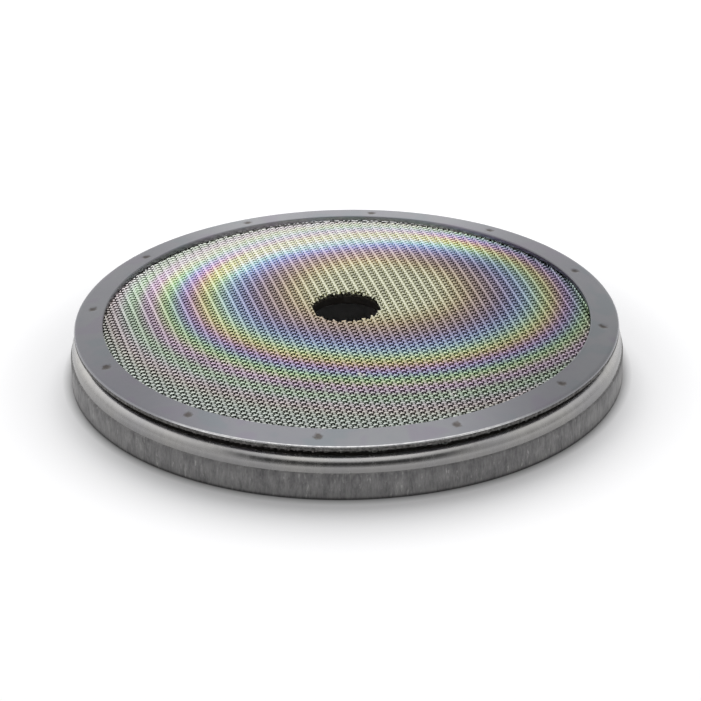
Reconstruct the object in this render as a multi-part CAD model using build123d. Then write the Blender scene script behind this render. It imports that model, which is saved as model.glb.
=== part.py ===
from build123d import *
from math import asin, cos, degrees, hypot, pi, sin, sqrt
import os

# Espresso shower screen: a drawn and pierced dish, a disc of woven wire cloth over its dome,
# and a sheet ring spot welded through the cloth. It lies open side down.
# Millimetres and degrees. Z runs up the axis of the screw hole, and the rim's edge is at Z = 0.

# Driving sizes of the dish
rim_diameter = 57.0
rim_band_height = 2.8
rim_band_step = 0.15
rim_edge_round = 0.15
dish_height = 6.7
dome_radius = 171.0
sheet_thickness = 0.8
shoulder_radius = 1.3
screw_hole_diameter = 7.0

# Driving sizes of the pierced pattern in the dish
pierced_hole_diameter = 2.5
pierced_hole_spacing = 4.5
first_row_land = 2.75

# Driving sizes of the wire cloth
cloth_thickness = 0.7
cloth_inset = 0.35
warp_pitch = 0.5
weft_pitch = 0.34
ridge_height = 0.16
weave_angle = 12.7
slit_width = 0.16
slit_wefts = 3
slit_spacing = 4.0
slit_land = 0.6

# Driving sizes of the welded ring
ring_setback = 0.3
ring_width = 2.95
ring_thickness = 0.5
ring_top_round = 0.22
ring_inner_round = 0.12
weld_count = 12
weld_first_angle = 23.8
weld_place = 0.45
weld_dent_diameter = 0.95
weld_dent_depth = 0.13

# Running allowance between the stacked faces, and how far cutters reach past a face
seat_gap = 0.02
cut_overrun = 1.0

# Sizes that follow
rim_radius = rim_diameter / 2
wall_radius = rim_radius - rim_band_step
screw_hole_radius = screw_hole_diameter / 2
ring_outer_radius = wall_radius - ring_setback
ring_inner_radius = ring_outer_radius - ring_width
dome_centre = dish_height - dome_radius
cloth_bottom = dome_radius + seat_gap
cloth_top = cloth_bottom + cloth_thickness
ring_bottom = cloth_top + seat_gap
ring_top = ring_bottom + ring_thickness
cloth_radius = ring_outer_radius - cloth_inset


def dome_z(sphere_radius, radius):
    """Height at a radius of a face that is concentric with the dome."""
    return dome_centre + sqrt(sphere_radius**2 - radius**2)


def dish_side(inset):
    """One face of the bent sheet, from the rim's edge to the screw hole, moved inwards by inset."""
    rim = rim_radius - inset
    wall = wall_radius - inset
    dome = dome_radius - inset
    bend = shoulder_radius - inset
    bend_x = wall - bend
    bend_z = dome_centre + sqrt((dome - bend) ** 2 - bend_x**2)
    tilt = asin(bend_x / (dome - bend))
    half_turn = (pi / 2 + tilt) / 2
    step_low = rim_band_height - rim_band_step / 2
    step_high = rim_band_height + rim_band_step / 2
    on_dome = (dome * sin(tilt), dome_centre + dome * cos(tilt))
    on_bend = (bend_x + bend * sin(half_turn), bend_z + bend * cos(half_turn))
    halfway = (on_dome[0] + screw_hole_radius) / 2
    return [
        Line((rim, 0), (rim, step_low)),
        Line((rim, step_low), (wall, step_high)),
        Line((wall, step_high), (wall, bend_z)),
        ThreePointArc((wall, bend_z), on_bend, on_dome),
        ThreePointArc(
            on_dome,
            (halfway, dome_z(dome, halfway)),
            (screw_hole_radius, dome_z(dome, screw_hole_radius)),
        ),
    ]


def revolved(edges):
    """Turn a closed outline of radius and height about the screw hole's axis."""
    face = Plane.XZ * make_face(edges)
    return revolve(face, Axis.Z, 360)


def base_pan():
    """The drawn dish: scratched rim band, smooth wall, round shoulder and pierced dome."""
    outer = dish_side(0)
    inner = dish_side(sheet_thickness)
    outline = outer + inner + [
        Line(outer[0] @ 0, inner[0] @ 0),
        Line(outer[-1] @ 1, inner[-1] @ 1),
    ]
    dish = revolved(outline)
    rim_edge = dish.edges().filter_by(GeomType.CIRCLE).group_by(Axis.Z)[0].sort_by(SortBy.LENGTH)[-1]
    dish = fillet(rim_edge, min(rim_edge_round, sheet_thickness / 3))
    return dish - pierced_holes()


def pierced_holes():
    """Rows of round holes about the screw hole, inside the ring's clamped edge."""
    depth = 2 * sheet_thickness + 2 * cut_overrun
    hole = Cylinder(pierced_hole_diameter / 2, depth)
    row = screw_hole_radius + first_row_land + pierced_hole_diameter / 2
    last_row = ring_inner_radius - sheet_thickness - pierced_hole_diameter / 2
    holes = []
    while row <= last_row:
        count = round(2 * pi * row / pierced_hole_spacing)
        middle = dome_z(dome_radius - sheet_thickness / 2, row)
        holes += [place * hole for place in Pos(0, 0, middle) * PolarLocations(row, count)]
        row += pierced_hole_spacing
    return holes


def cloth_section():
    """Section across the warp wires: one ridge for each wire above, the seating face below."""
    ridges = 2 * round(cloth_radius / warp_pitch) + 3
    start = -ridges * warp_pitch / 2
    valley = cloth_top - ridge_height
    points = [(start, dome_z(valley, start))]
    for ridge in range(ridges):
        middle = start + (ridge + 0.5) * warp_pitch
        right = start + (ridge + 1) * warp_pitch
        points.append((middle, dome_z(cloth_top, middle)))
        points.append((right, dome_z(valley, right)))
    seat_end = dome_z(cloth_bottom, start)
    seat = ThreePointArc((start, seat_end), (0, dome_z(cloth_bottom, 0)), (-start, seat_end))
    ends = [Line(seat @ 0, points[0]), Line(seat @ 1, points[-1])]
    return Plane.XZ * make_face([Polyline(*points), seat] + ends)


def cloth_slits():
    """Staggered gaps between neighbouring warp wires, a few wefts long, all over the open cloth."""
    columns = round(slit_spacing / warp_pitch)
    column_pitch = columns * warp_pitch
    length = slit_wefts * weft_pitch
    slit = Box(slit_width, length, dish_height)
    open_radius = ring_inner_radius - slit_land
    reach = int(open_radius / column_pitch) + 1
    slits = []
    for column in range(-reach, reach + 1):
        x = column * column_pitch
        shift = slit_spacing / 2 if column % 2 else 0
        for row in range(-reach, reach + 1):
            y = row * slit_spacing + shift
            nearest = hypot(x, max(abs(y) - length / 2, 0)) - slit_width
            farthest = hypot(abs(x) + slit_width, abs(y) + length / 2)
            if nearest > screw_hole_radius + slit_land and farthest < open_radius:
                slits.append(Pos(x, y, dome_z(cloth_bottom, hypot(x, y))) * slit)
    print("gaps in the cloth:", len(slits))
    return slits


def filter_mesh():
    """The disc of wire cloth: ridges that follow the dome, cut to a round disc with a screw hole."""
    swing = 2 * degrees(asin((cloth_radius + cut_overrun) / cloth_bottom))
    across = Axis((0, 0, dome_centre), (1, 0, 0))
    sheet = revolve(cloth_section(), across, swing)
    sheet = sheet.rotate(across, -swing / 2)
    blank = Pos(0, 0, dish_height / 2) * Cylinder(cloth_radius, 2 * dish_height)
    punch = Pos(0, 0, dish_height) * Cylinder(screw_hole_radius, 2 * dish_height)
    disc = (sheet & blank) - punch - cloth_slits()
    return Rot(0, 0, weave_angle) * disc


def weld_dents():
    """The shallow round dents that the welding electrode leaves on the ring."""
    half_width = weld_dent_diameter / 2
    ball_radius = (half_width**2 + weld_dent_depth**2) / (2 * weld_dent_depth)
    circle = ring_inner_radius + weld_place * (ring_outer_radius - ring_inner_radius)
    tilt = asin(circle / ring_top)
    reach = ring_top + ball_radius - weld_dent_depth
    height = dome_centre + reach * cos(tilt)
    places = PolarLocations(reach * sin(tilt), weld_count, weld_first_angle)
    return [Pos(0, 0, height) * place * Sphere(ball_radius) for place in places]


def rim_circles(ring, middle):
    """The round edges of the ring inside and outside its middle, each from low to high."""
    rounds = ring.edges().filter_by(lambda edge: edge.is_closed and edge.geom_type == GeomType.CIRCLE)
    inside = rounds.filter_by(lambda edge: edge.radius < middle).sort_by(Axis.Z)
    outside = rounds.filter_by(lambda edge: edge.radius > middle).sort_by(Axis.Z)
    return inside, outside


def retaining_ring():
    """The sheet ring that follows the dome and clamps the edge of the cloth."""
    middle = (ring_outer_radius + ring_inner_radius) / 2

    def arc(sphere):
        """One face of the ring, as an arc from its inner to its outer edge."""
        ends = [(radius, dome_z(sphere, radius)) for radius in (ring_inner_radius, ring_outer_radius)]
        return ThreePointArc(ends[0], (middle, dome_z(sphere, middle)), ends[1])

    low = arc(ring_bottom)
    high = arc(ring_top)
    ring = revolved([low, high, Line(low @ 0, high @ 0), Line(low @ 1, high @ 1)])
    inner_edges, outer_edges = rim_circles(ring, middle)
    ring = fillet(outer_edges[-1], min(ring_top_round, ring_thickness / 2.1))
    inner_edges, outer_edges = rim_circles(ring, middle)
    ring = fillet(inner_edges[-1], min(ring_inner_round, ring_thickness / 4))
    return ring - weld_dents()


os.makedirs("parts", exist_ok=True)
for name, piece in {
    "base_pan": base_pan(),
    "filter_mesh": filter_mesh(),
    "retaining_ring": retaining_ring(),
}.items():
    print(name, "volume", round(piece.volume, 1))
    export_step(piece, "parts/" + name + ".step")
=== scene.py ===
# %% [markdown]
# # An espresso shower screen
# A shower screen spreads hot water over the coffee in an espresso machine. This one is a drawn
# steel dish that lies open side down. A disc of woven wire cloth covers its domed plate, and a
# sheet ring, spot welded at twelve places, clamps the edge of the cloth.
# The frame below holds the real sizes of the three pieces. This script makes their visible forms:
# it turns the dish and the ring from their sections, weaves the cloth from separate wires, and
# gives each its own steel.

# %% Load the frame
import bmesh
import bpy
from math import asin, atan2, cos, pi, radians, sin, sqrt
from mathutils import Matrix, Vector


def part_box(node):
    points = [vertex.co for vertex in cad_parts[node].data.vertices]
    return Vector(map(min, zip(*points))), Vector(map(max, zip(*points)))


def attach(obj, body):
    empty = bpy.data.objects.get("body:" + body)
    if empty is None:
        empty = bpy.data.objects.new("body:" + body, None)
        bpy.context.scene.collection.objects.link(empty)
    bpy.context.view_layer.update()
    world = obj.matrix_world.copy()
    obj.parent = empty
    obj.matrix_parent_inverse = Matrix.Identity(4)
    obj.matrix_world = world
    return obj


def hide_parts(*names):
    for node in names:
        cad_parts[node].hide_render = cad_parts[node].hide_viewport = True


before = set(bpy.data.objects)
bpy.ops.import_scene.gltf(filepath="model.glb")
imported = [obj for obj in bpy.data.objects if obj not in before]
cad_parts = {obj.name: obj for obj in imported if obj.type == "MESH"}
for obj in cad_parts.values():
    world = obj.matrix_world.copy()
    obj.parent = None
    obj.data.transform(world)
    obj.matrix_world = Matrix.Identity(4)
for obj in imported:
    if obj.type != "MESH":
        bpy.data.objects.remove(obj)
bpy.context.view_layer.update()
mm = 0.001
print("nodes:", sorted(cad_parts))

# %% [markdown]
# ## Sizes
# What the frame can tell is read from it: the rim, the ring's outside and the cloth's outside.
# Everything that seats on the dome shares one centre far below it, so each face is a sphere a
# little larger than the one beneath. Naming these few radii here keeps the pieces seated on each
# other.

# %% Sizes of the pieces, read from the frame or named once
rim_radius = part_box("base_pan")[1].x
ring_outer_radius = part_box("retaining_ring")[1].x
cloth_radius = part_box("filter_mesh")[1].x
ring_inner_radius = 25.1 * mm
screw_hole_radius = 3.5 * mm
sheet_thickness = 0.8 * mm
dish_height = 6.7 * mm
dome_radius = 171.0 * mm
dome_centre = dish_height - dome_radius
seat_gap = 0.02 * mm
cloth_thickness = 0.7 * mm
ring_thickness = 0.5 * mm
cloth_bottom = dome_radius + seat_gap
ring_bottom = cloth_bottom + cloth_thickness + seat_gap
ring_top = ring_bottom + ring_thickness


def dome_z(sphere_radius, radius):
    """Height at a radius of a face that is concentric with the dome."""
    return dome_centre + sqrt(sphere_radius**2 - radius**2)


print("ring outside in mm:", round(ring_outer_radius / mm, 3))
print("cloth outside in mm:", round(cloth_radius / mm, 3))

# %% [markdown]
# ## Camera
# The photograph was taken with a long lens from about 26 degrees above the table, so circles keep
# nearly the same shape from front to back. A camera could be aimed with a constraint. Here it is
# built from three directions instead, because the picture also has a slight roll.

# %% Camera at the photograph's angle
image_width = 701
focal_length_px = 3668.5
sensor_width = 36.0
camera_elevation = radians(26.25)
camera_roll = radians(-0.77)
camera_distance = 378.2 * mm
nearest_seen = 10.0 * mm
aim_point = Vector((0.37, -1.37, 2.80)) * mm

forward = Vector((0, cos(camera_elevation), -sin(camera_elevation)))
level = Vector((1, 0, 0))
upward = level.cross(forward)
across = cos(camera_roll) * level + sin(camera_roll) * upward
above = cos(camera_roll) * upward - sin(camera_roll) * level
turn = Matrix((across, above, -forward)).transposed().to_4x4()

camera_data = bpy.data.cameras.new("camera")
camera_data.sensor_width = sensor_width
camera_data.lens = focal_length_px * sensor_width / image_width
camera_data.clip_start = nearest_seen
camera = bpy.data.objects.new("camera", camera_data)
camera.matrix_world = Matrix.Translation(aim_point - forward * camera_distance) @ turn
bpy.context.scene.collection.objects.link(camera)
bpy.context.scene.camera = camera
bpy.context.scene.view_settings.view_transform = "Standard"
print("lens in mm:", round(camera_data.lens, 1))

# %% [markdown]
# ## Turned pieces
# The dish and the ring are both turned forms, so each starts as a section of radius and height
# and is spun about the screw hole's axis. The round stretches of a section come from an arc
# function. The seam of the spin is merged and the normals are recalculated, because a spin can
# come out inside out.

# %% Sections and spins
merge_distance = 0.0001 * mm


def add_object(name, data):
    """An object in the scene for a mesh or a lamp."""
    piece = bpy.data.objects.new(name, data)
    bpy.context.scene.collection.objects.link(piece)
    return piece


def arc_points(centre, radius, start, end, count):
    """Points on an arc; angles are in radians from straight up, towards the rim."""
    points = []
    for index in range(count + 1):
        angle = start + (end - start) * index / count
        points.append((centre[0] + radius * sin(angle), centre[1] + radius * cos(angle)))
    return points


def spin_section(name, section, steps):
    """Spins a closed section about the Z axis into a closed mesh."""
    work = bmesh.new()
    verts = [work.verts.new((radius, 0, height)) for radius, height in section]
    edges = [work.edges.new((verts[i], verts[(i + 1) % len(verts)])) for i in range(len(verts))]
    bmesh.ops.spin(work, geom=verts + edges, cent=(0, 0, 0), axis=(0, 0, 1), angle=2 * pi,
                   steps=steps, use_duplicate=False, use_merge=True)
    bmesh.ops.remove_doubles(work, verts=work.verts, dist=merge_distance)
    bmesh.ops.recalc_face_normals(work, faces=work.faces)
    mesh = bpy.data.meshes.new(name)
    work.to_mesh(mesh)
    work.free()
    return add_object(name, mesh)


def smooth(mesh, crease):
    """Shades a mesh smooth, apart from edges sharper than the crease."""
    mesh.shade_smooth()
    mesh.set_sharp_from_angle(angle=crease)


def triangles(piece):
    """Number of triangles in a piece's mesh."""
    piece.data.calc_loop_triangles()
    return len(piece.data.loop_triangles)


print("turning ready, doubles merge below", merge_distance / mm, "mm")

# %% [markdown]
# ## Drawn dish
# On the real screen a press draws the dish from flat sheet, so its wall has one thickness all the
# way: dome, rounded shoulder, smooth wall, and a band at the rim that stands out by a hair. The
# section is the same side drawn twice, once for the outside and once moved inwards by the sheet.

# %% Section of the dish
rim_band_height = 2.8 * mm
rim_band_step = 0.15 * mm
band_turn = 0.06 * mm
shoulder_radius = 1.3 * mm
wall_radius = rim_radius - rim_band_step
rim_edge_round = 0.15 * mm
rim_edge_steps = 4
shoulder_steps = 12
dome_steps = 40
dish_spin_steps = 360


def dish_side(inset):
    """One face of the bent sheet, from the rim's edge to the screw hole."""
    rim = rim_radius - inset
    wall = wall_radius - inset
    dome = dome_radius - inset
    bend = shoulder_radius - inset
    bend_x = wall - bend
    bend_z = dome_centre + sqrt((dome - bend) ** 2 - bend_x**2)
    tilt = asin(bend_x / (dome - bend))
    step = rim_band_step / 2
    side = [(rim, 0)]
    if inset == 0:
        corner = (rim - rim_edge_round, rim_edge_round)
        side = arc_points(corner, rim_edge_round, pi, pi / 2, rim_edge_steps)
    side += [(rim, rim_band_height - step - band_turn),
             (rim - 0.1 * band_turn, rim_band_height - step),
             (wall, rim_band_height + step)]
    side += arc_points((bend_x, bend_z), bend, pi / 2, tilt, shoulder_steps)
    for index in range(1, dome_steps + 1):
        radius = wall - bend + (screw_hole_radius - bend_x) * index / dome_steps
        side.append((radius, dome_z(dome, radius)))
    return side


dish_section = dish_side(0) + dish_side(sheet_thickness)[::-1]
dish = spin_section("dish", dish_section, dish_spin_steps)
print("dish section points:", len(dish_section), "triangles:", triangles(dish))

# %% [markdown]
# ## Pierced plate
# A punch pierces the plate with rows of round holes, through which the water falls. An array
# could repeat one cutter, but each row has its own count. So the cutters are one joined mesh of
# cylinders, and a single exact Boolean cuts them all at once.

# %% Pierce the plate
pierced_radius = 1.25 * mm
pierced_spacing = 4.5 * mm
pierced_sides = 28
first_row = screw_hole_radius + 2.75 * mm + pierced_radius
last_row = ring_inner_radius - sheet_thickness - pierced_radius
dish_crease = radians(35)


def pierced_places():
    """Centres of the holes, row by row about the screw hole."""
    row = first_row
    places = []
    while row <= last_row:
        count = round(2 * pi * row / pierced_spacing)
        for index in range(count):
            angle = 2 * pi * index / count
            places.append((row * cos(angle), row * sin(angle)))
        row += pierced_spacing
    return places


def joined_cutters(places, low, high):
    """One mesh of upright cylinders."""
    work = bmesh.new()
    for x, y in places:
        spot = Matrix.Translation((x, y, (low + high) / 2))
        bmesh.ops.create_cone(work, cap_ends=True, segments=pierced_sides, radius1=pierced_radius,
                              radius2=pierced_radius, depth=high - low, matrix=spot)
    mesh = bpy.data.meshes.new("cutters")
    work.to_mesh(mesh)
    work.free()
    return add_object("cutters", mesh)


def apply_modifiers(piece):
    """Turns the evaluated result into the piece's plain mesh and removes its modifiers."""
    depsgraph = bpy.context.evaluated_depsgraph_get()
    mesh = bpy.data.meshes.new_from_object(piece.evaluated_get(depsgraph))
    piece.modifiers.clear()
    piece.data = mesh
    return piece


cutters = joined_cutters(pierced_places(), rim_band_height, dish_height + sheet_thickness)
cut = dish.modifiers.new("pierce", "BOOLEAN")
cut.operation = "DIFFERENCE"
cut.solver = "EXACT"
cut.object = cutters
apply_modifiers(dish)
bpy.data.objects.remove(cutters)
smooth(dish.data, dish_crease)
print("holes:", len(pierced_places()), "dish triangles:", triangles(dish))

# %% [markdown]
# ## Welded ring
# The ring is a washer of sheet that follows the dome, with its outer corner rounded by tumbling.
# Each spot weld leaves a shallow dent where the electrode pressed. The dents could be cut with
# spheres, but a fine spin whose vertices are pushed down by a smooth rule gives softer rims, as
# pressed metal has.

# %% Section of the ring and its dents
ring_top_round = 0.22 * mm
ring_inner_round = 0.12 * mm
ring_flat_steps = 20
inner_round_steps = 4
top_round_steps = 6
top_round_start = 0.14
ring_spin_steps = 720
ring_crease = radians(50)
weld_count = 12
weld_step = 2 * pi / weld_count
weld_first_angle = radians(23.8)
weld_circle = ring_inner_radius + 0.45 * (ring_outer_radius - ring_inner_radius)
weld_radius = 0.475 * mm
weld_depth = 0.13 * mm
weld_reach = 1.25


def ring_section():
    """Closed section of the ring: flat faces on the dome's centre, rounded upper corners."""
    outer_corner = (ring_outer_radius - ring_top_round,
                    dome_z(ring_top, ring_outer_radius) - ring_top_round)
    inner_corner = (ring_inner_radius + ring_inner_round,
                    dome_z(ring_top, ring_inner_radius) - ring_inner_round)
    points = [(ring_inner_radius, dome_z(ring_bottom, ring_inner_radius))]
    points += arc_points(inner_corner, ring_inner_round, -pi / 2, 0, inner_round_steps)
    flat = ring_outer_radius - ring_top_round - ring_inner_radius - ring_inner_round
    for index in range(1, ring_flat_steps):
        radius = ring_inner_radius + ring_inner_round + flat * index / ring_flat_steps
        points.append((radius, dome_z(ring_top, radius)))
    points += arc_points(outer_corner, ring_top_round, top_round_start, pi / 2, top_round_steps)
    points.append((ring_outer_radius, dome_z(ring_bottom, ring_outer_radius)))
    return points


def press_dents(mesh):
    """Pushes the top of the ring down in a smooth dish at each weld."""
    half_step = weld_step / 2
    for vertex in mesh.vertices:
        radius = vertex.co.xy.length
        if vertex.co.z < dome_z(ring_bottom + ring_thickness / 2, radius):
            continue
        around = atan2(vertex.co.y, vertex.co.x) - weld_first_angle
        angle = (around + half_step) % weld_step - half_step
        distance = sqrt((radius - weld_circle) ** 2 + (angle * radius) ** 2) / weld_radius
        if distance < weld_reach:
            vertex.co.z -= weld_depth * 0.5 * (1 + cos(pi * distance / weld_reach))


ring = spin_section("ring", ring_section(), ring_spin_steps)
press_dents(ring.data)
smooth(ring.data, ring_crease)
print("ring triangles:", triangles(ring))

# %% [markdown]
# ## Node helpers
# Every material and every modifier tree here is written in code. A few small helpers keep that
# readable. The first adds a node and fills its inputs, where a value may be a number or another
# node's output. The others do arithmetic.

# %% Helpers that build node trees
def fill(tree, socket, value):
    """Links a socket to another node's output, or sets it to a value."""
    if isinstance(value, bpy.types.NodeSocket):
        tree.links.new(value, socket)
    else:
        socket.default_value = value


def add_node(tree, kind, settings=None, **inputs):
    """Adds a node, sets its properties and fills its inputs by name, or by place as at0, at1."""
    node = tree.nodes.new(kind)
    for key, value in (settings or {}).items():
        setattr(node, key, value)
    for key, value in inputs.items():
        by_place = key[:2] == "at" and key[2:].isdigit()
        fill(tree, node.inputs[int(key[2:]) if by_place else key.replace("_", " ")], value)
    return node


def maths(tree, operation, first, second=0.0, third=0.0):
    """One Math node, and its result."""
    node = add_node(tree, "ShaderNodeMath", {"operation": operation},
                    at0=first, at1=second, at2=third)
    return node.outputs[0]


def product(tree, first, *others):
    """Numbers multiplied in turn."""
    for other in others:
        first = maths(tree, "MULTIPLY", first, other)
    return first


def length(tree, first, second):
    """Length of the long side over two sides at a right angle."""
    squares = maths(tree, "ADD", product(tree, first, first), product(tree, second, second))
    return maths(tree, "SQRT", squares)


print("helpers that build node trees:", 5)

# %% [markdown]
# ## Woven cloth
# The cloth is plain weave: warp wires half a millimetre apart run up and away to the left, and
# weft wires cross them, each going over one warp and under the next. Every second warp stands a
# little higher than its neighbours. Rubbing has flattened its crests, so light runs along it in
# one line.
# One Geometry Nodes tree weaves any of the four sets of wires, even and odd warps, even and odd
# wefts. It starts from a grid whose columns are the wires, deletes the rungs between them, trims
# them to the disc and the screw hole, lifts them onto the dome with a cosine for the crimp, and
# sweeps a five-sided profile along each. A steepness above one makes the cosine overshoot before
# it is clamped, and that gives the flat crests. Weaving by nodes keeps the crossings exact: the
# same cosine with opposite signs makes one wire pass over where the other passes under.

# %% Inputs of the weaving tree
float_labels = (
    "Lane Pitch", "Lane Shift", "Sample Pitch", "Crossing Pitch", "Crimp", "Lift", "Steepness",
    "Wire Radius", "Turn", "Outer Radius", "Inner Radius", "Sphere Radius", "Sphere Centre",
)
mesh_inputs = [(label, "NodeSocketFloat") for label in float_labels]
mesh_inputs += [("Lanes", "NodeSocketInt"), ("Samples", "NodeSocketInt")]
mesh_inputs += [("Round", "NodeSocketBool"), ("Material", "NodeSocketMaterial")]
profile_sides = 5
profile_turn = radians(54)
rung_width = 0.001 * mm
print("weaving tree inputs:", len(mesh_inputs))

# %% [markdown]
# ### Lanes, crimp and profile
# The tree is made in three functions, one for each stage: straight lanes cut to the disc, their
# places on the dome, and the swept wires. A curve could be drawn for each wire instead, but then
# the pitch and the crimp couldn't be changed by one number.

# %% Stages of the weaving tree
def cut_lanes(tree, given):
    """Straight lanes of points, cut to the disc and the screw hole, and each point's place."""
    spans = [product(tree, maths(tree, "SUBTRACT", given[count], 1.0), given[pitch])
             for count, pitch in (("Lanes", "Lane Pitch"), ("Samples", "Sample Pitch"))]
    grid = add_node(tree, "GeometryNodeMeshGrid", Size_X=spans[0], Size_Y=spans[1],
                    Vertices_X=given["Lanes"], Vertices_Y=given["Samples"])
    ends = tree.nodes.new("GeometryNodeInputMeshEdgeVertices").outputs
    first = add_node(tree, "ShaderNodeSeparateXYZ", at0=ends["Position 1"]).outputs[0]
    second = add_node(tree, "ShaderNodeSeparateXYZ", at0=ends["Position 2"]).outputs[0]
    sideways = maths(tree, "ABSOLUTE", maths(tree, "SUBTRACT", first, second))
    is_rung = maths(tree, "GREATER_THAN", sideways, rung_width)
    lines = add_node(tree, "GeometryNodeDeleteGeometry", {"domain": "EDGE", "mode": "EDGE_FACE"},
                     Geometry=grid.outputs["Mesh"], Selection=is_rung)

    position = tree.nodes.new("GeometryNodeInputPosition").outputs[0]
    place = add_node(tree, "ShaderNodeSeparateXYZ", at0=position).outputs
    lane = maths(tree, "ADD", place[0], given["Lane Shift"])
    distance = length(tree, lane, place[1])
    cut_away = maths(tree, "MAXIMUM",
                     maths(tree, "GREATER_THAN", distance, given["Outer Radius"]),
                     maths(tree, "LESS_THAN", distance, given["Inner Radius"]))
    trimmed = add_node(tree, "GeometryNodeDeleteGeometry", {"domain": "POINT", "mode": "ALL"},
                       Geometry=lines.outputs[0], Selection=cut_away)
    return trimmed.outputs[0], lane, place[1], distance


def crimp_lanes(tree, given, lanes, lane, along, distance):
    """Lifts the lanes onto the dome, crimps them and turns them to the weave's angle."""
    swing = maths(tree, "COSINE", maths(tree, "DIVIDE", product(tree, along, pi),
                                        given["Crossing Pitch"]))
    steep = product(tree, swing, given["Steepness"])
    flattened = maths(tree, "MINIMUM", maths(tree, "MAXIMUM", steep, -1.0), 1.0)
    crimped = maths(tree, "MULTIPLY_ADD", given["Crimp"], flattened, given["Lift"])
    sphere = given["Sphere Radius"]
    drop = maths(tree, "SUBTRACT", product(tree, sphere, sphere), product(tree, distance, distance))
    dome = maths(tree, "ADD", maths(tree, "SQRT", drop), given["Sphere Centre"])
    flat = add_node(tree, "ShaderNodeCombineXYZ", at0=lane, at1=along,
                    at2=maths(tree, "ADD", dome, crimped))
    turned = add_node(tree, "ShaderNodeVectorRotate", {"rotation_type": "Z_AXIS"},
                      Vector=flat.outputs[0], Angle=given["Turn"])
    woven = add_node(tree, "GeometryNodeSetPosition", Geometry=lanes, Position=turned.outputs[0])
    return woven.outputs[0]


def sweep_wires(tree, given, lanes):
    """Sweeps the wire's profile along the lanes, with closed ends and flat sides up."""
    curves = add_node(tree, "GeometryNodeMeshToCurve", Mesh=lanes)
    upright = add_node(tree, "GeometryNodeSetCurveNormal", {"mode": "Z_UP"},
                       Curve=curves.outputs[0])
    circle = add_node(tree, "GeometryNodeCurvePrimitiveCircle", Resolution=profile_sides,
                      Radius=given["Wire Radius"])
    profile = add_node(tree, "GeometryNodeTransform", Geometry=circle.outputs[0],
                       Rotation=(0, 0, profile_turn))
    wires = add_node(tree, "GeometryNodeCurveToMesh", Curve=upright.outputs[0],
                     Profile_Curve=profile.outputs[0], Fill_Caps=True)
    smoothed = add_node(tree, "GeometryNodeSetShadeSmooth", Geometry=wires.outputs[0],
                        Shade_Smooth=given["Round"])
    return smoothed.outputs[0]


print("stages of the weaving tree:", 3)

# %% [markdown]
# ### One tree for all wires
# The stages are joined into one tree with named inputs. It ends by making its instances real and
# by setting the material, because only a plain mesh with its material can be exported.

# %% The weaving tree
def weaving_tree():
    """Geometry Nodes tree that makes one set of parallel crimped wires on the dome."""
    tree = bpy.data.node_groups.new("weave one set of wires", "GeometryNodeTree")
    for label, kind in mesh_inputs:
        tree.interface.new_socket(label, in_out="INPUT", socket_type=kind)
    tree.interface.new_socket("Geometry", in_out="OUTPUT", socket_type="NodeSocketGeometry")
    given = tree.nodes.new("NodeGroupInput").outputs
    lanes, lane, along, distance = cut_lanes(tree, given)
    woven = crimp_lanes(tree, given, lanes, lane, along, distance)
    wires = sweep_wires(tree, given, woven)
    real = add_node(tree, "GeometryNodeRealizeInstances", Geometry=wires)
    coloured = add_node(tree, "GeometryNodeSetMaterial", Geometry=real.outputs[0],
                        Material=given["Material"])
    result = tree.nodes.new("NodeGroupOutput")
    tree.links.new(coloured.outputs[0], result.inputs[0])
    return tree


weaver = weaving_tree()
print("nodes in the weaving tree:", len(weaver.nodes))

# %% [markdown]
# ## Material helpers
# The finishes below all work alike. They read a place on the piece in millimetres, make noise
# from it, and drive the shader's colour, roughness and bump with that noise. Object coordinates
# are used rather than a UV map, because a turned or woven piece has no natural unwrapping.

# %% Helpers for colours and ranges
def blend_colours(tree, factor, first, second):
    """Mixes two colours by a factor."""
    node = add_node(tree, "ShaderNodeMix", {"data_type": "RGBA"}, at0=factor, at6=first, at7=second)
    return node.outputs[2]


def remap(tree, value, low, high, to_low=0.0, to_high=1.0, smooth=False):
    """Maps a range of values to another range."""
    node = add_node(tree, "ShaderNodeMapRange",
                    {"interpolation_type": "SMOOTHSTEP" if smooth else "LINEAR"},
                    Value=value, at1=low, at2=high, at3=to_low, at4=to_high)
    return node.outputs[0]


def rise(tree, value, low, high):
    """Rises smoothly from 0 to 1 over a range."""
    return remap(tree, value, low, high, smooth=True)


def fall(tree, value, low, high):
    """Falls smoothly from 1 to 0 over a range."""
    return remap(tree, value, low, high, 1.0, 0.0, smooth=True)


def scale_vector(tree, vector, factor):
    """A vector or a colour times a number."""
    node = add_node(tree, "ShaderNodeVectorMath", {"operation": "SCALE"}, at0=vector, Scale=factor)
    return node.outputs[0]


print("helpers for colours and ranges:", 5)

# %% [markdown]
# ### Places and noise
# Noise that is stretched in one direction gives drawing marks and scratches, and unstretched
# noise gives stains. The same noise drives the roughness and the bump, so a mark that looks dull
# also lies deeper.

# %% Helpers for places, noise and shaders
def new_material(name, metallic=1.0):
    """A material, its tree and shader, and the place in mm, as a vector and its three parts."""
    material = bpy.data.materials.new(name)
    material.use_nodes = True
    tree = material.node_tree
    shader = tree.nodes["Principled BSDF"]
    shader.inputs["Metallic"].default_value = metallic
    coordinates = tree.nodes.new("ShaderNodeTexCoord").outputs["Object"]
    vector = scale_vector(tree, coordinates, 1 / mm)
    place = add_node(tree, "ShaderNodeSeparateXYZ", at0=vector).outputs
    return material, tree, shader, vector, place


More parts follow.
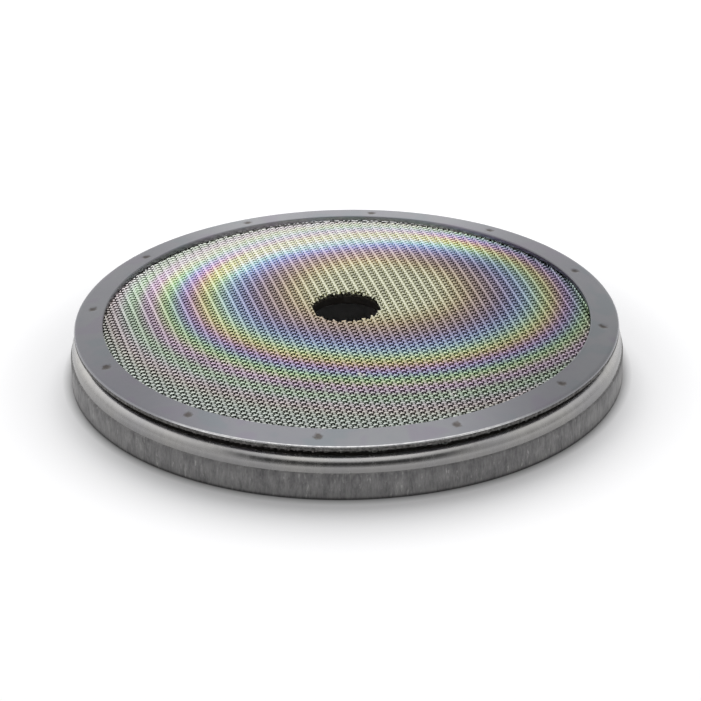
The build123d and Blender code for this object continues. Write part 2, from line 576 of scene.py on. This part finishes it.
def noise(tree, vector, scale, detail=2.0, roughness=0.5, stretch=(1.0, 1.0, 1.0)):
    """Noise over a stretched place, from 0 to 1."""
    mapping = add_node(tree, "ShaderNodeMapping", Vector=vector, Scale=stretch)
    node = add_node(tree, "ShaderNodeTexNoise", Vector=mapping.outputs[0], Scale=scale,
                    Detail=detail, Roughness=roughness)
    return node.outputs[0]


def drive_shader(tree, shader, colour, roughness, height, strength, depth):
    """Drives the shader's colour and roughness, and its bump from a height."""
    bump = add_node(tree, "ShaderNodeBump", Height=height, Strength=strength, Distance=depth)
    fill(tree, shader.inputs["Base Color"], colour)
    fill(tree, shader.inputs["Roughness"], roughness)
    fill(tree, shader.inputs["Normal"], bump.outputs[0])


print("helpers for materials:", 3)

# %% [markdown]
# ## Film colours
# The cloth carries a clear film a fraction of a micrometre thick, and light reflected from its
# two faces interferes. The film thickens outwards from a point near the middle, so the colours
# form rings in the order that an oil film shows: straw, purple, blue, green, yellow, pink, green,
# and so on, paler each time. A colour ramp could copy that order. Here the order comes out of the
# cause: each of red, green and blue is dimmed by a cosine of the path difference over its own
# wavelength. The path is a short polynomial in the square of the distance from the film's middle,
# with one smooth step where the film leaves its level middle. It is read from Object coordinates,
# so the rings stay on the cloth from every side.

# %% Path difference in the film, in nanometres
film_middle = (3.2, 4.1)
film_flattening = 0.905
film_path_terms = (372.0, -0.1, 0.0061, -0.0000039)
film_step_squares = (25.0, 110.0)
film_step_path = (-45.0, 50.0)


def film_path(tree, place):
    """Path difference at a place, from the square of its distance to the film's middle."""
    east = maths(tree, "SUBTRACT", place[0], film_middle[0])
    north = maths(tree, "SUBTRACT", place[1], film_middle[1])
    north = maths(tree, "DIVIDE", north, film_flattening)
    squares = maths(tree, "ADD", product(tree, east, east), product(tree, north, north))
    path = film_path_terms[3]
    for term in film_path_terms[2::-1]:
        path = maths(tree, "MULTIPLY_ADD", squares, path, term)
    step = remap(tree, squares, *film_step_squares, *film_step_path, smooth=True)
    return maths(tree, "ADD", path, step)


print("film's middle in mm:", film_middle)

# %% [markdown]
# ### Painted light on the film
# Towards the back the steel is brighter and the colours are paler, a painted reflection of the
# bright backdrop; towards the east side it is darker, a painted shade. Three small scuffs at the
# front have lost their film. Each set of wires has its own brightness at the front, in the middle
# and at the back, painted light and shade, because the front shows the wefts and the middle shows
# the warps. These are smooth ranges of the place in millimetres, so no picture has to be painted.

# %% Painted light in three zones, fading and scuffs
# Painted reflection brightens and pales the back; painted shade darkens the east side.
painted_light_front_to_middle = (-12.0, 5.0)
painted_light_middle_to_back = (7.0, 18.0)
back_slant = -0.3
painted_reflection_paling = (15.0, 21.0)
painted_reflection_palest = 0.35
east_painted_shade = (4.0, 24.0)
east_painted_shade_level = 0.76
film_fading_path = 1600.0
scuffs = ((1.45, -14.6, 0.9), (10.5, -17.9, 1.0), (-1.95, -16.9, 0.7))
scuff_reach = (0.2, 0.6)
scuff_lift = 0.2


def painted_zone_light(tree, place, backwards, front, middle, back):
    """Painted light and shade on the steel, from its values at the front, middle and back."""
    back_painted_reflection = product(tree, rise(tree, backwards, *painted_light_middle_to_back), back - middle)
    front_painted_light = remap(tree, place[1], *painted_light_front_to_middle, front, middle, smooth=True)
    level = maths(tree, "ADD", front_painted_light, back_painted_reflection)
    shaded = remap(tree, place[0], *east_painted_shade, 1.0, east_painted_shade_level, smooth=True)
    return product(tree, level, shaded)


def scuffing(tree, place):
    """How far the film is scuffed away at a place, from 0 to 1."""
    scuffed = 0.0
    for x, y, strength in scuffs:
        east = maths(tree, "SUBTRACT", place[0], x)
        north = maths(tree, "SUBTRACT", place[1], y)
        near = length(tree, east, north)
        scuff = remap(tree, near, *scuff_reach, strength, 0.0, smooth=True)
        scuffed = maths(tree, "MAXIMUM", scuffed, scuff)
    return scuffed


def film_fade(tree, path, backwards, scuffed):
    """Strength of the colours: less for a longer path, in a scuff, and at the back as painted
    reflection.
    """
    ratio = maths(tree, "DIVIDE", path, film_fading_path)
    fade = maths(tree, "EXPONENT", product(tree, ratio, ratio, -1.0))
    paler = remap(tree, backwards, *painted_reflection_paling, 1.0, painted_reflection_palest, smooth=True)
    return product(tree, fade, paler, maths(tree, "SUBTRACT", 1.0, scuffed))


print("scuffs:", len(scuffs))

# %% [markdown]
# ### Colour of the film
# Each row of the waves holds a wavelength in nanometres, the depth of its cosine and its tint.
# The drawing marks on the wire are fine noise, so they only soften the crests.

# %% Film colour and filmed wire
waves = ((610.0, 0.32, 0.99), (545.0, 0.38, 1.0), (455.0, 0.32, 0.94))


def film_colour(tree, place, front, middle, back):
    """Colour of the filmed steel at a place in mm, with painted light and shade in three zones."""
    backwards = maths(tree, "MULTIPLY_ADD", place[0], back_slant, place[1])
    scuffed = scuffing(tree, place)
    path = film_path(tree, place)
    fade = film_fade(tree, path, backwards, scuffed)
    level = maths(tree, "ADD", painted_zone_light(tree, place, backwards, front, middle, back),
                  product(tree, scuffed, scuff_lift))
    channels = []
    for wavelength, depth, tint in waves:
        wave = maths(tree, "COSINE", product(tree, path, 2 * pi / wavelength))
        swing = product(tree, wave, product(tree, fade, -depth * tint))
        channels.append(product(tree, maths(tree, "ADD", swing, tint), level))
    mixed = add_node(tree, "ShaderNodeCombineColor", at0=channels[0], at1=channels[1],
                     at2=channels[2])
    return mixed.outputs[0]


def wire_material(name, zones, smoothest, roughest):
    """Filmed wire with fine drawing marks."""
    material, tree, shader, vector, place = new_material(name)
    stain = noise(tree, vector, scale=0.35, detail=3.0, roughness=0.6)
    colour = scale_vector(tree, film_colour(tree, place, *zones),
                          remap(tree, stain, 0.35, 0.75, 0.92, 1.06))
    marks = noise(tree, vector, scale=9.0, roughness=0.6)
    drive_shader(tree, shader, colour, remap(tree, marks, 0.3, 0.7, smoothest, roughest),
                 marks, 0.2, 0.002 * mm)
    return material


# Each set's three numbers are painted light and shade at the front, in the middle and at the back.
high_warp = wire_material("high warp", (0.42, 0.72, 1.0), 0.10, 0.20)
low_warp = wire_material("low warp", (0.42, 0.54, 1.0), 0.20, 0.32)
high_weft = wire_material("high weft", (0.66, 0.58, 1.0), 0.10, 0.20)
low_weft = wire_material("low weft", (0.78, 0.54, 1.0), 0.14, 0.26)
# The cut edge's dark steel is painted shade for the gap under the ring.
cut_edge_painted_shade = wire_material("clamped wire with painted shade", (0.16, 0.16, 0.16), 0.3, 0.45)
for material in (high_warp, low_warp, high_weft, low_weft, cut_edge_painted_shade):
    print(material.name, "nodes:", len(material.node_tree.nodes))

# %% [markdown]
# ## Four sets of wires
# On a loom the warps hang in two groups that change places for each weft. So the wires are woven
# in the same groups here: even and odd warps, even and odd wefts. A set bends the other way from
# its neighbour by the sign of its crimp. Crests that are flattened by rubbing are also shaded
# flat, so that they catch the light like small mirrors.

# %% Weave the four sets of wires
warp_pitch = 0.5 * mm
weft_pitch = 0.34 * mm
weave_angle = radians(12.7)
samples_per_crossing = 3
visible_cloth_radius = ring_inner_radius + 0.3 * mm
cloth_middle = cloth_bottom + 0.5 * cloth_thickness
warp = {"pitch": warp_pitch, "crossing": weft_pitch, "turn": weave_angle}
weft = {"pitch": weft_pitch, "crossing": warp_pitch, "turn": weave_angle - pi / 2}
wire_sets = {
    "warp_wires_even": dict(warp, shifted=False, radius=0.125, crimp=-0.115, lift=0.075,
                            steepness=2.0, steel=high_warp),
    "warp_wires_odd": dict(warp, shifted=True, radius=0.115, crimp=0.10, lift=-0.05,
                           steepness=1.0, steel=low_warp),
    "weft_wires_even": dict(weft, shifted=False, radius=0.115, crimp=0.165, lift=0.0,
                            steepness=2.0, steel=high_weft),
    "weft_wires_odd": dict(weft, shifted=True, radius=0.115, crimp=-0.13, lift=0.01,
                           steepness=1.6, steel=low_weft),
}


def odd_count(width, pitch):
    """Least odd number of lines at a pitch that covers a width on both sides of the middle."""
    return 2 * (int(width / pitch) + 1) + 1


def weave(name, pitch, crossing, turn, shifted, radius, crimp, lift, steepness, steel,
          inner, outer):
    """One set of parallel wires: every second wire of the warp or of the weft, as a plain mesh."""
    sample = crossing / samples_per_crossing
    values = {
        "Lane Pitch": 2 * pitch, "Lane Shift": pitch if shifted else 0.0,
        "Lanes": odd_count(outer, 2 * pitch), "Sample Pitch": sample,
        "Samples": odd_count(outer, sample), "Crossing Pitch": crossing,
        "Crimp": crimp * mm, "Lift": lift * mm, "Wire Radius": radius * mm,
        "Steepness": steepness, "Round": steepness == 1.0, "Turn": turn,
        "Outer Radius": outer, "Inner Radius": inner,
        "Sphere Radius": cloth_middle, "Sphere Centre": dome_centre, "Material": steel,
    }
    piece = add_object(name, bpy.data.meshes.new(name))
    modifier = piece.modifiers.new("weave", "NODES")
    modifier.node_group = weaver
    for item in weaver.interface.items_tree:
        if item.item_type == "SOCKET" and item.in_out == "INPUT":
            modifier[item.identifier] = values[item.name]
    apply_modifiers(piece)
    print(name, "triangles:", triangles(piece))
    return piece


cloth_pieces = []
for name, recipe in wire_sets.items():
    cloth_pieces.append(weave(name, inner=screw_hole_radius, outer=visible_cloth_radius, **recipe))

# %% [markdown]
# ## Cut edge of the cloth
# Under the ring the cloth can't be seen, apart from its cut edge, which shows in the dark gap
# between the ring and the shoulder. The same tree weaves just that narrow band, so the ends of
# the wires stand there without the hidden part between. Its steel is painted dark, a painted
# shade for the gap.

# %% Weave the cut edge
cut_edge_inner = cloth_radius - 0.9 * mm
cut_edge_outer = cloth_radius - 0.2 * mm


def join(name, parts):
    """Joins pieces into one new piece and removes them."""
    work = bmesh.new()
    for part in parts:
        work.from_mesh(part.data)
    mesh = parts[0].data.copy()
    work.to_mesh(mesh)
    work.free()
    mesh.name = name
    for part in parts:
        bpy.data.objects.remove(part)
    return add_object(name, mesh)


edge_sets = []
for recipe in wire_sets.values():
    edge_sets.append(weave("edge", inner=cut_edge_inner, outer=cut_edge_outer, **recipe))
cloth_pieces.append(join("cloth_cut_edge", edge_sets))
cloth_pieces[-1].data.materials[0] = cut_edge_painted_shade
print("cut edge triangles:", triangles(cloth_pieces[-1]))

# %% [markdown]
# ## Ring steel
# The ring is satin stainless sheet with a faint bluish cast and clouds of tarnish, and each weld
# has a small brown heat tint. The tint could be painted at twelve places, but a remainder of the
# angle finds the nearest weld with a few nodes.

# %% Ring steel
bluish_steel = (0.335, 0.332, 0.37, 1)
pale_steel = (0.37, 0.375, 0.395, 1)
purple_tarnish = (0.33, 0.275, 0.37, 1)
green_tarnish = (0.28, 0.345, 0.36, 1)
tarnish_strength = 0.35
heat_brown = (0.13, 0.11, 0.095, 1)
heat_strength = 0.8


def weld_distance(tree, place):
    """Distance in millimetres to the nearest weld."""
    angle = maths(tree, "ARCTAN2", place[1], place[0])
    turned = maths(tree, "SUBTRACT", angle, weld_first_angle - weld_step / 2 - 2 * pi)
    offset = maths(tree, "SUBTRACT", maths(tree, "MODULO", turned, weld_step), weld_step / 2)
    radius = length(tree, place[0], place[1])
    outwards = maths(tree, "SUBTRACT", radius, weld_circle / mm)
    return length(tree, product(tree, offset, radius), outwards)


def ring_material():
    """Satin sheet with brown heat tint at each weld, and painted shade towards its two sides."""
    material, tree, shader, vector, place = new_material("ring steel")
    cloudy = noise(tree, vector, scale=0.11, detail=3.0, roughness=0.55)
    steel = blend_colours(tree, remap(tree, cloudy, 0.35, 0.65), bluish_steel, pale_steel)
    tarnish = noise(tree, vector, scale=0.22)
    purple = remap(tree, tarnish, 0.54, 0.66, 0.0, tarnish_strength, smooth=True)
    green = remap(tree, tarnish, 0.36, 0.46, tarnish_strength, 0.0, smooth=True)
    steel = blend_colours(tree, purple, steel, purple_tarnish)
    steel = blend_colours(tree, green, steel, green_tarnish)
    uneven = remap(tree, noise(tree, vector, scale=2.2), 0.3, 0.7, -0.12, 0.12)
    ragged = maths(tree, "ADD", weld_distance(tree, place), uneven)
    tint = product(tree, fall(tree, ragged, 0.25, 0.62), heat_strength)
    burnt = blend_colours(tree, tint, steel, heat_brown)
    # Painted shade: the ring is darker towards its left and right sides.
    sideways = maths(tree, "ABSOLUTE", place[0])
    colour = scale_vector(tree, burnt, remap(tree, sideways, 9.0, 22.0, 0.95, 0.62, smooth=True))
    grain = noise(tree, vector, scale=14.0, detail=3.0, roughness=0.65)
    drive_shader(tree, shader, colour, remap(tree, grain, 0.3, 0.7, 0.30, 0.42),
                 grain, 0.2, 0.006 * mm)
    return material


ring.data.materials.append(ring_material())
print("made:", ring.data.materials[0].name)

# %% [markdown]
# ## Edges of the ring
# The ring's outer corner has a painted highlight at the front, and the sheared face below the
# corner is ragged, with painted shade that makes it dark. Both are stretches of the same mesh,
# so each face takes its finish by the way it looks, rather than by being cut off as a piece of
# its own.

# %% Edges of the ring
# The sheared face's dark colours are painted shade.
sheared_painted_shade_dark = (0.05, 0.048, 0.045, 1)
sheared_painted_shade_light = (0.19, 0.185, 0.18, 1)
# A painted highlight on the corner, fading to plain steel behind the front.
corner_highlight_dark = (0.66, 0.66, 0.68, 1)
corner_highlight_light = (0.92, 0.92, 0.92, 1)
corner_without_highlight = (0.28, 0.28, 0.30, 1)
corner_highlight_front = (-25.5, -20.0)
sheared_slope = 0.97
corner_slope = 0.35
lowest_normal = -0.5


def sheared_material():
    """Ragged face where the ring was cut from sheet, painted dark as painted shade."""
    material, tree, shader, vector, place = new_material("sheared edge")
    ragged = noise(tree, vector, scale=3.0, detail=4.0, roughness=0.7)
    colour = blend_colours(tree, remap(tree, ragged, 0.35, 0.65), sheared_painted_shade_dark, sheared_painted_shade_light)
    drive_shader(tree, shader, colour, remap(tree, ragged, 0.3, 0.7, 0.65, 0.45),
                 ragged, 0.6, 0.05 * mm)
    return material


def corner_highlight_material():
    """Painted highlight on the ring's outer corner, at the front only."""
    material, tree, shader, vector, place = new_material("ring corner painted highlight")
    corner_patches = noise(tree, vector, scale=1.4, detail=3.0, roughness=0.6)
    colour = blend_colours(tree, remap(tree, corner_patches, 0.35, 0.6), corner_highlight_dark, corner_highlight_light)
    colour = blend_colours(tree, rise(tree, place[1], *corner_highlight_front), colour, corner_without_highlight)
    drive_shader(tree, shader, colour, remap(tree, corner_patches, 0.35, 0.65, 0.30, 0.18),
                 corner_patches, 0.2, 0.01 * mm)
    return material


def print_finishes(piece):
    """Prints how many faces take each material."""
    for index, material in enumerate(piece.data.materials):
        count = sum(face.material_index == index for face in piece.data.polygons)
        print(material.name, "faces:", count)


for material in (sheared_material(), corner_highlight_material()):
    ring.data.materials.append(material)
for face in ring.data.polygons:
    outside = face.center.xy.length > ring_outer_radius - ring_top_round
    slope = face.normal.xy.length
    if outside and face.normal.z > lowest_normal:
        face.material_index = 1 if slope > sheared_slope else 2 if slope > corner_slope else 0
print_finishes(ring)

# %% [markdown]
# ## Dish steel
# The dish is bare stainless sheet. It is smooth where the press drew it, and matt with upright
# scratches on the band at its rim, where a tool sized it. The scratches come from noise that
# changes fast round the axis and slowly upwards.

# %% Drawn steel and scratched band
drawn_cool = (0.38, 0.375, 0.38, 1)
drawn_warm = (0.43, 0.42, 0.405, 1)
band_dark = (0.15, 0.147, 0.15, 1)
band_light = (0.28, 0.276, 0.273, 1)
band_glint = (0.46, 0.45, 0.44, 1)
# Painted shade darkens the wall and a painted highlight brightens the shoulder, by height.
wall_shade_and_highlight_height = (3.7, 4.35)
wall_shade_and_highlight = (0.68, 1.35)
# Painted light near the band's foot, painted shade near its top, and a painted shadow at the foot.
band_painted_light_height = (0.4, 2.7)
band_painted_light = (1.5, 0.75)
foot_shade_height = (0.1, 0.45)
foot_shade = (0.45, 1.0)
fine_share = 0.55


def drawn_material():
    """Smooth drawn sheet with faint drawing streaks up the wall, and painted shade and highlight.
    """
    material, tree, shader, vector, place = new_material("drawn steel")
    streaks = noise(tree, vector, scale=1.6, detail=3.0, roughness=0.6, stretch=(1.0, 1.0, 0.12))
    cloudy = noise(tree, vector, scale=0.15)
    base = blend_colours(tree, remap(tree, cloudy, 0.35, 0.65), drawn_cool, drawn_warm)
    # Painted shade low on the wall, painted highlight on the shoulder, times the streaks.
    streaks_and_painted_light = product(tree, remap(tree, streaks, 0.3, 0.7, 0.92, 1.06),
                    remap(tree, place[2], *wall_shade_and_highlight_height, *wall_shade_and_highlight, smooth=True))
    drive_shader(tree, shader, scale_vector(tree, base, streaks_and_painted_light),
                 remap(tree, streaks, 0.3, 0.7, 0.20, 0.30), streaks, 0.15, 0.01 * mm)
    return material


def band_material():
    """Matt band with upright scratches, some of them bright, and painted light and shade by height.
    """
    material, tree, shader, vector, place = new_material("scratched band")
    fine = noise(tree, vector, scale=4.5, detail=4.0, roughness=0.75, stretch=(1.0, 1.0, 0.22))
    broad = noise(tree, vector, scale=0.8, detail=3.0, roughness=0.65, stretch=(1.0, 1.0, 0.5))
    glints = noise(tree, vector, scale=2.4, detail=3.0, roughness=0.75, stretch=(1.0, 1.0, 0.3))
    mixed = maths(tree, "MULTIPLY_ADD", fine, fine_share, product(tree, broad, 1 - fine_share))
    dull = blend_colours(tree, remap(tree, mixed, 0.36, 0.62), band_dark, band_light)
    colour = blend_colours(tree, remap(tree, glints, 0.60, 0.72, 0.0, 0.8), dull, band_glint)
    # Painted light towards the foot, painted shade towards the top, painted shadow at the very
    # foot.
    painted_light_and_foot_shade = product(tree, remap(tree, place[2], *band_painted_light_height, *band_painted_light),
                   remap(tree, place[2], *foot_shade_height, *foot_shade, smooth=True))
    drive_shader(tree, shader, scale_vector(tree, colour, painted_light_and_foot_shade),
                 remap(tree, mixed, 0.36, 0.62, 0.55, 0.40), mixed, 0.35, 0.03 * mm)
    return material


dish_finishes = [drawn_material(), band_material()]
print("made:", [material.name for material in dish_finishes])

# %% [markdown]
# ## Plate with painted shade
# Under the cloth the plate has painted shade, and so has the wall of the screw hole.
# As on the ring, each face of the dish takes its finish by its place.

# %% Plate with painted shade, and who takes which finish
# The plate's dark colours are painted shade.
plate_painted_shade_dark = (0.10, 0.09, 0.08, 1)
plate_painted_shade_light = (0.16, 0.15, 0.14, 1)
place_slack = 0.01 * mm
plate_slack = 0.05 * mm
band_top = rim_band_height + 0.55 * rim_band_step


def shaded_plate_material():
    """Top of the plate with painted shade, for the dark that the cloth keeps it in."""
    material, tree, shader, vector, place = new_material("plate with painted shade")
    cloudy = noise(tree, vector, scale=0.8, detail=3.0, roughness=0.6)
    colour = blend_colours(tree, remap(tree, cloudy, 0.35, 0.65), plate_painted_shade_dark, plate_painted_shade_light)
    drive_shader(tree, shader, colour, remap(tree, cloudy, 0.35, 0.65, 0.55, 0.42),
                 cloudy, 0.2, 0.02 * mm)
    return material


dish.data.materials.clear()
for material in dish_finishes + [shaded_plate_material()]:
    dish.data.materials.append(material)
for face in dish.data.polygons:
    reach = face.center.xy.length
    on_band = face.center.z < band_top and reach > wall_radius - place_slack
    on_top = face.center.z > dome_z(dome_radius, reach) - plate_slack
    in_screw_hole = reach < screw_hole_radius + place_slack
    on_plate = in_screw_hole or (reach < cloth_radius and on_top)
    face.material_index = 1 if on_band else 2 if on_plate else 0
print_finishes(dish)

# %% [markdown]
# ## Floor and lamp
# The screen lies on white in soft light. The floor is nearly white and glows just enough to come
# out white where nothing shades it. The glow fades in over the first centimetre, so the soft
# shadow of the rim keeps its depth next to the metal, and the fading adds a painted shadow. Under
# the rim the floor is painted darker, a painted shadow. Far away, where the lamp is weak, the
# floor glows a little more, for the camera alone.

# %% Floor
floor_size = 6.0
floor_white = (0.82, 0.82, 0.83, 1)
floor_shade = (0.38, 0.38, 0.38, 1)
floor_glow = (0.13, 0.32)
floor_glow_width = 13.0
floor_shade_edge = (-0.5, 1.0)
far_reach = (120.0, 500.0)
far_glow = 0.4


def plane(name, corners, material):
    """A stage plane through four corners."""
    mesh = bpy.data.meshes.new(name)
    mesh.from_pydata(corners, [], [(0, 1, 2, 3)])
    mesh.materials.append(material)
    piece = add_object(name, mesh)
    return piece


def floor_material():
    """White matt floor with a little glow of its own, and painted shadow near and under the rim."""
    material, tree, shader, vector, place = new_material("white floor", metallic=0.0)
    shader.inputs["Roughness"].default_value = 0.9
    shader.inputs["Specular IOR Level"].default_value = 0.0
    shader.inputs["Emission Color"].default_value = (1, 1, 1, 1)
    reach = add_node(tree, "ShaderNodeVectorMath", {"operation": "LENGTH"}, at0=vector)
    reach = reach.outputs["Value"]
    edge = rim_radius / mm
    # The glow's fade-in near the rim and floor_shade under the rim are painted shadow.
    near = remap(tree, reach, edge, edge + floor_glow_width, *floor_glow, smooth=True)
    clear = remap(tree, reach, *(edge + offset for offset in floor_shade_edge))
    far = remap(tree, reach, *far_reach, 0.0, far_glow, smooth=True)
    seen = tree.nodes.new("ShaderNodeLightPath").outputs["Is Camera Ray"]
    glow = maths(tree, "MULTIPLY_ADD", far, seen, product(tree, near, clear))
    colour = blend_colours(tree, clear, floor_shade, floor_white)
    fill(tree, shader.inputs["Base Color"], colour)
    fill(tree, shader.inputs["Emission Strength"], glow)
    return material


half = floor_size / 2
floor_corners = [(-half, -half, 0), (half, -half, 0), (half, half, 0), (-half, half, 0)]
floor = plane("floor", floor_corners, floor_material())
print("floor side in m:", floor_size)

# %% [markdown]
# ### The one lamp
# A wide lamp above and behind gives the soft shadow. A sun would draw a hard one. The lamp is
# left out of reflections, because the softbox of the studio below stands for it there.

# %% Lamp
lamp_place = Vector((0.0, 0.40, 0.46))
lamp_size = 0.5
lamp_power = 3.4

lamp_data = bpy.data.lights.new("overhead", "AREA")
lamp_data.shape = "SQUARE"
lamp_data.size = lamp_size
lamp_data.energy = lamp_power
lamp = add_object("overhead", lamp_data)
lamp_aim = (-lamp_place).to_track_quat("-Z", "Y").to_matrix().to_4x4()
lamp.matrix_world = Matrix.Translation(lamp_place) @ lamp_aim
lamp.visible_glossy = False
print("lamp distance in m:", round(lamp_place.length, 2))

# %% [markdown]
# ## Studio
# Metal shows what stands round it, so it needs more than an even sky. To the camera the world is
# white. In reflections it is a studio that is set by direction: a bright backdrop behind, a
# softbox overhead, a window at each side, and a dark camera side, which draws the dark line along
# the shoulder. Real planes could stand there instead, but they would have to be hidden from each
# view.

# %% Studio by direction
side_level = 0.37
camera_side_level = 0.06
backdrop_north = (0.05, 0.4)
backdrop_height = (0.42, 0.92)
backdrop_lean = 0.5
west_window = (-0.75, -0.5)
east_window = (0.5, 0.75)
east_window_level = 0.65
softbox_height = (0.60, 0.70)
softbox_north = (0.70, 0.76)
softbox_sides = (0.2, 0.6)
softbox_side_level = 0.35
dark_north = (-0.35, -0.15)
dark_top = (0.60, 0.74)
dark_bottom = (0.12, 0.34)
dark_sides = (0.5, 0.8)


def studio_lights(tree, east, north, height, sideways):
    """The brightest of backdrop, windows and softbox in a direction, from 0 to 1."""
    leaning = maths(tree, "MULTIPLY_ADD", east, backdrop_lean, height)
    backdrop = product(tree, rise(tree, north, *backdrop_north),
                       fall(tree, leaning, *backdrop_height))
    windows = maths(tree, "MAXIMUM", fall(tree, east, *west_window),
                    remap(tree, east, *east_window, 0.0, east_window_level, smooth=True))
    softbox = product(tree, rise(tree, height, *softbox_height), fall(tree, north, *softbox_north),
                      remap(tree, sideways, *softbox_sides, 1.0, softbox_side_level, smooth=True))
    return maths(tree, "MAXIMUM", maths(tree, "MAXIMUM", backdrop, windows), softbox)


def studio(tree):
    """How bright the studio is in a direction, as metal shows it, with white as 1."""
    direction = tree.nodes.new("ShaderNodeTexCoord").outputs["Generated"]
    east, north, height = add_node(tree, "ShaderNodeSeparateXYZ", at0=direction).outputs
    sideways = maths(tree, "ABSOLUTE", east)
    lights = studio_lights(tree, east, north, height, sideways)
    level = remap(tree, lights, 0.0, 1.0, side_level, 1.0)
    dark = product(tree, fall(tree, north, *dark_north), fall(tree, height, *dark_top),
                   rise(tree, height, *dark_bottom), fall(tree, sideways, *dark_sides))
    kept = product(tree, level, maths(tree, "SUBTRACT", 1.0, dark))
    return maths(tree, "MULTIPLY_ADD", dark, camera_side_level, kept)


print("darkest and brightest part of the studio:", camera_side_level, 1.0)

# %% [markdown]
# ### The world's three answers
# A ray from the camera meets white, a ray that a surface mirrors meets the studio, and the soft
# light that falls on everything has one plain level.

# %% World
soft_level = 0.36
world = bpy.data.worlds.new("surroundings")
bpy.context.scene.world = world
world.use_nodes = True
sky = world.node_tree
sky.nodes.clear()
rays = sky.nodes.new("ShaderNodeLightPath").outputs
mirrored = maths(sky, "MAXIMUM", rays["Is Glossy Ray"], rays["Is Transmission Ray"])
shown = product(sky, mirrored, studio(sky))
seen = maths(sky, "MAXIMUM", rays["Is Camera Ray"], shown)
unseen = maths(sky, "SUBTRACT", 1.0, maths(sky, "MAXIMUM", rays["Is Camera Ray"], mirrored))
strength = maths(sky, "MULTIPLY_ADD", unseen, soft_level, seen)
background = add_node(sky, "ShaderNodeBackground", Color=(1, 1, 1, 1), Strength=strength)
world_output = sky.nodes.new("ShaderNodeOutputWorld")
sky.links.new(background.outputs[0], world_output.inputs[0])
print("nodes in the world:", len(sky.nodes))

# %% [markdown]
# ## Pieces on the frame
# Each piece rides on the one body of the frame, and the solid that it stands for, named in the
# list, is hidden.

# %% Ride and replace
roles = [(dish, "base_pan", "drawn_steel"), (ring, "retaining_ring", "ring_steel")]
roles += [(wires, "filter_mesh", "wire_cloth") for wires in cloth_pieces]
for piece, node, slot in roles:
    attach(piece, "root")
    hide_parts(node)
